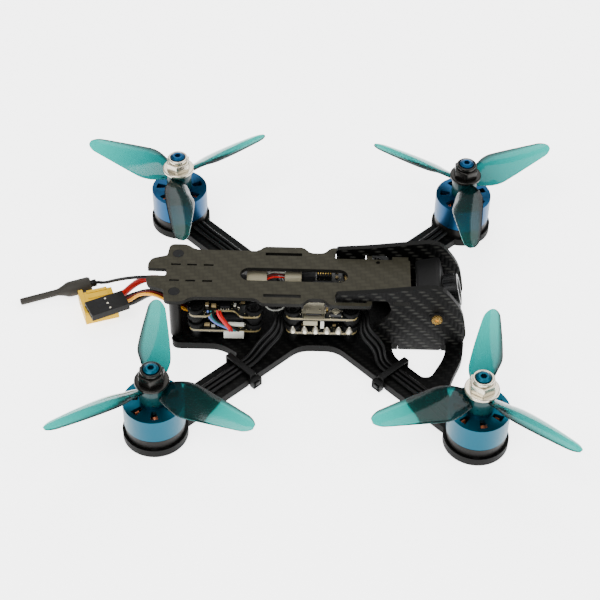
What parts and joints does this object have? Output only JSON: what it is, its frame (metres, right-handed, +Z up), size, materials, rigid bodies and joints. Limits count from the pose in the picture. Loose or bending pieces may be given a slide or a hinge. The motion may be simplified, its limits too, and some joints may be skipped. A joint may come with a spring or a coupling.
{
  "type": "quadcopter drone",
  "caption": "Small racing quadcopter with a carbon frame, outrunner motors with translucent three-blade propellers, stacked circuit boards and a tilting nose camera.",
  "frame": {"origin": "centre of the four motors, on the underside of the main plate", "axes": "+X towards the nose, +Y to the left side, +Z up along the motor axes"},
  "size_m": [0.1933, 0.1537, 0.0315],
  "materials": {
    "carbon_plate": "woven carbon, satin",
    "carbon_deck": "woven carbon, fine matt twill",
    "carbon_side": "woven carbon twill, glossy",
    "black_anodised": "satin black anodised",
    "black_screw": "black oxide",
    "black_nylon": "moulded nylon",
    "black_rubber": "soft rubber",
    "circuit_board": "black solder mask with tan edges",
    "socket_metal": "plated steel",
    "button_metal": "plated steel",
    "camera_plastic": "moulded, slightly rough",
    "lens": "glossy",
    "brass_screw": "machined",
    "bearing_steel": "ground",
    "lead_black": "silicone insulation",
    "coax_jacket": "smooth jacket",
    "sleeve_rubber": "shrink sleeve",
    "lead_red": "silicone insulation",
    "plug_amber": "translucent nylon",
    "lead_yellow": "silicone insulation",
    "plug_black": "moulded",
    "lamination_steel": "stacked laminations",
    "copper_wire": "enamelled copper wire",
    "magnet": "nickel plated",
    "spindle_steel": "ground",
    "propeller_teal": "translucent tinted",
    "bell_blue": "metallic blue anodised",
    "bell_blue_far": "metallic blue anodised",
    "nut_silver": "machined",
    "nut_black": "black anodised"
  },
  "bodies": {
    "root": {"main_plate": "carbon_plate", "top_plate": "carbon_deck", "side_plate_right": "carbon_side", "side_plate_left": "carbon_side", "rear_standoffs": "black_anodised", "plate_screws": "black_screw", "stack_screws": "black_nylon", "stack_spacers": "black_rubber", "stack_nuts": "black_nylon", "esc_board": "circuit_board", "fc_board": "circuit_board", "usb_socket": "socket_metal", "power_board": "circuit_board", "video_board": "circuit_board", "bearings": "bearing_steel", "motor_leads": "lead_black", "cable_ties": "black_nylon", "antenna_coax": "coax_jacket", "antenna_sleeve": "sleeve_rubber", "battery_lead_red": "lead_red", "battery_lead_black": "lead_black", "battery_plug": "plug_amber", "signal_lead": "lead_yellow", "signal_plug": "plug_black", "motor_base_rear_right": "black_anodised", "stator_rear_right": "lamination_steel", "windings_rear_right": "copper_wire", "motor_base_front_right": "black_anodised", "stator_front_right": "lamination_steel", "windings_front_right": "copper_wire", "motor_base_rear_left": "black_anodised", "stator_rear_left": "lamination_steel", "windings_rear_left": "copper_wire", "motor_base_front_left": "black_anodised", "stator_front_left": "lamination_steel", "windings_front_left": "copper_wire"},
    "camera": {"camera_case": "camera_plastic", "camera_lens": "lens", "camera_screws": "brass_screw"},
    "boot_button": {"boot_button": "button_metal"},
    "rotor_rear_right": {"bell_rear_right": "bell_blue", "magnets_rear_right": "magnet", "spindle_rear_right": "spindle_steel", "propeller_rear_right": "propeller_teal", "prop_nut_rear_right": "nut_black"},
    "rotor_front_right": {"bell_front_right": "bell_blue", "magnets_front_right": "magnet", "spindle_front_right": "spindle_steel", "propeller_front_right": "propeller_teal", "prop_nut_front_right": "nut_silver"},
    "rotor_rear_left": {"bell_rear_left": "bell_blue_far", "magnets_rear_left": "magnet", "spindle_rear_left": "spindle_steel", "propeller_rear_left": "propeller_teal", "prop_nut_rear_left": "nut_silver"},
    "rotor_front_left": {"bell_front_left": "bell_blue_far", "magnets_front_left": "magnet", "spindle_front_left": "spindle_steel", "propeller_front_left": "propeller_teal", "prop_nut_front_left": "nut_black"}
  },
  "joints": [
    {"name": "spin_rear_right", "type": "hinge", "parent": "root", "child": "rotor_rear_right", "pos_m": [-0.053, -0.053, 0.012], "axis": [0, 0, 1], "continuous": true},
    {"name": "spin_front_right", "type": "hinge", "parent": "root", "child": "rotor_front_right", "pos_m": [0.053, -0.053, 0.012], "axis": [0, 0, 1], "continuous": true},
    {"name": "spin_rear_left", "type": "hinge", "parent": "root", "child": "rotor_rear_left", "pos_m": [-0.053, 0.053, 0.012], "axis": [0, 0, 1], "continuous": true},
    {"name": "spin_front_left", "type": "hinge", "parent": "root", "child": "rotor_front_left", "pos_m": [0.053, 0.053, 0.012], "axis": [0, 0, 1], "continuous": true},
    {"name": "camera_tilt", "type": "hinge", "parent": "root", "child": "camera", "pos_m": [0.0407, 0, 0.016], "axis": [0, -1, 0], "range_deg": [-15, 25]},
    {"name": "boot_press", "type": "slide", "parent": "root", "child": "boot_button", "axis": [0, 0, -1], "range_m": [0, 0.00025], "stiffness_N_per_m": 600, "springref_m": -0.0005}
  ]
}
